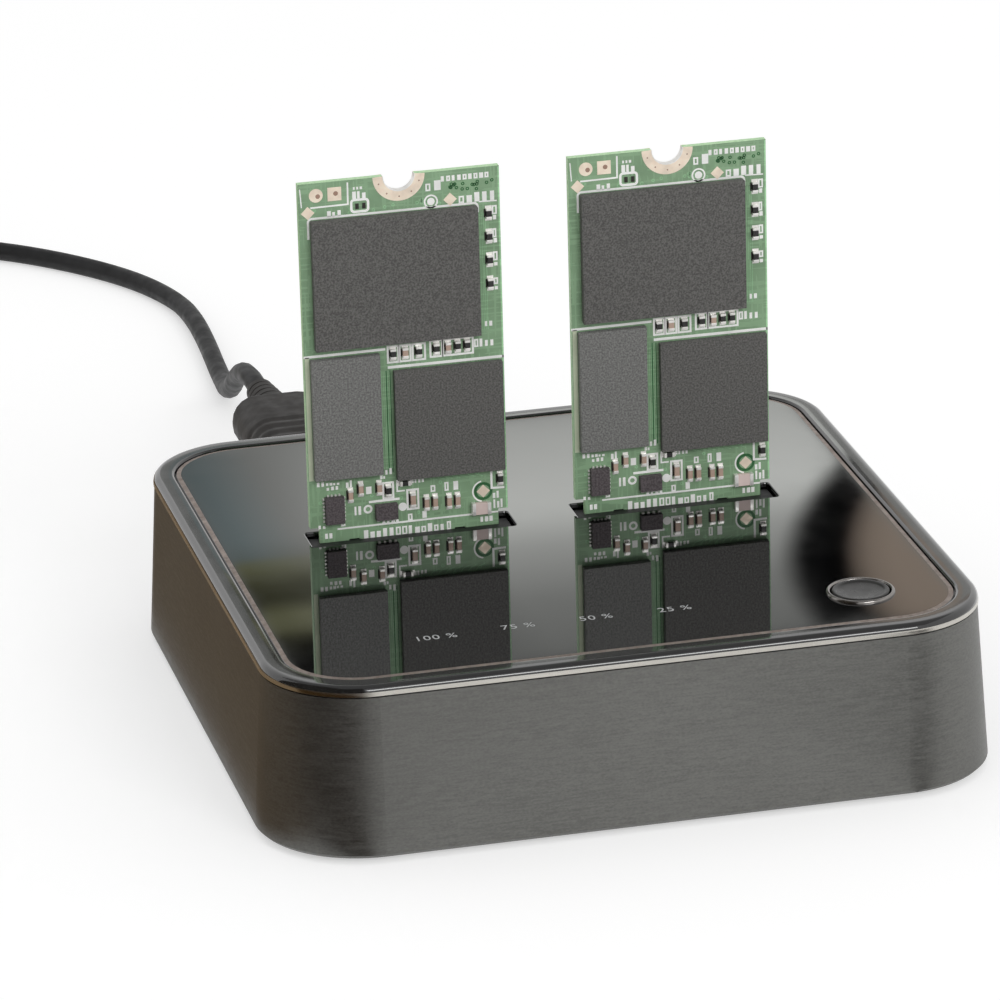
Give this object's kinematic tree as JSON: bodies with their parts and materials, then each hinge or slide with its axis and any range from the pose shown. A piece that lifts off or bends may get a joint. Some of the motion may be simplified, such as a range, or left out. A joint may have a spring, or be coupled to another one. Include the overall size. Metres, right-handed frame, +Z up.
{
  "type": "hard drive docking station",
  "caption": "Square desktop dock for bare card drives, with drives upright in the slots of its glossy top, a round button, ports at the back and a coiled USB cable.",
  "frame": {"origin": "centre of the case footprint on the table, under the feet", "axes": "+X to the right seen from the button side, +Y towards the ports at the back, +Z up"},
  "size_m": [0.1343, 0.2307, 0.0593],
  "materials": {
    "case_brushed": "brushed dark grey",
    "rim_gloss": "gloss",
    "plate_gloss": "mirror gloss",
    "gasket_foam": "matte",
    "cover_plastic": "fine texture",
    "foot_rubber": "matte",
    "screw_steel": "plated",
    "board_green": "solder mask",
    "socket_plastic": "moulded",
    "chip_epoxy": "fine matte",
    "part_ceramic": "fired ceramic with tinned ends",
    "ferrite": "matte",
    "can_aluminium": "drawn",
    "port_steel": "plated",
    "light_clear": "clear",
    "ring_chrome": "polished",
    "button_gloss": "satin",
    "plunger_plastic": "moulded",
    "cord_jacket": "satin",
    "plug_plastic": "fine texture",
    "tongue_plastic": "moulded",
    "tie_fabric": "hook and loop"
  },
  "bodies": {
    "root": {"housing_shell": "case_brushed", "top_frame": "rim_gloss", "top_plate": "plate_gloss", "plate_gasket": "gasket_foam", "bottom_cover": "cover_plastic", "rubber_feet": "foot_rubber", "case_screws": "screw_steel", "main_board": "board_green", "board_screws": "screw_steel", "socket_left": "socket_plastic", "socket_right": "socket_plastic", "bridge_chip": "chip_epoxy", "clone_chip": "chip_epoxy", "crystal": "port_steel", "inductors": "ferrite", "capacitors": "can_aluminium", "usb_port": "port_steel", "power_jack": "cover_plastic", "progress_leds": "light_clear", "light_guide": "light_clear", "button_ring": "ring_chrome", "clone_switch": "cover_plastic", "power_switch": "cover_plastic", "usb_plug_grip": "plug_plastic", "usb_plug_tip": "port_steel", "usb_plug_boot": "plug_plastic", "cord_lead": "cord_jacket", "cord_coil": "cord_jacket", "cord_tail": "cord_jacket", "cord_tie": "tie_fabric", "host_plug_grip": "plug_plastic", "host_plug_shell": "port_steel", "host_plug_tongue": "tongue_plastic", "host_plug_boot": "plug_plastic"},
    "clone_button": {"clone_button": "button_gloss", "clone_switch_plunger": "plunger_plastic"},
    "power_button": {"power_button": "button_gloss", "power_switch_plunger": "plunger_plastic"},
    "drive_left": {"drive_left_board": "board_green", "drive_left_flash": "chip_epoxy", "drive_left_controller": "chip_epoxy", "drive_left_memory": "chip_epoxy", "drive_left_small_parts": "part_ceramic"},
    "drive_right": {"drive_right_board": "board_green", "drive_right_flash": "chip_epoxy", "drive_right_controller": "chip_epoxy", "drive_right_memory": "chip_epoxy", "drive_right_small_parts": "part_ceramic"}
  },
  "joints": [
    {"name": "clone_button_press", "type": "slide", "parent": "root", "child": "clone_button", "axis": [0, 0, -1], "range_m": [0, 0.0004], "stiffness_N_per_m": 1500, "springref_m": -0.0003},
    {"name": "power_button_press", "type": "slide", "parent": "root", "child": "power_button", "axis": [0, -1, 0], "range_m": [0, 0.0008], "stiffness_N_per_m": 1000, "springref_m": -0.0003},
    {"name": "drive_left_pull", "type": "slide", "parent": "root", "child": "drive_left", "axis": [0, 0, 1], "range_m": [0, 0.008]},
    {"name": "drive_right_pull", "type": "slide", "parent": "root", "child": "drive_right", "axis": [0, 0, 1], "range_m": [0, 0.008]}
  ]
}
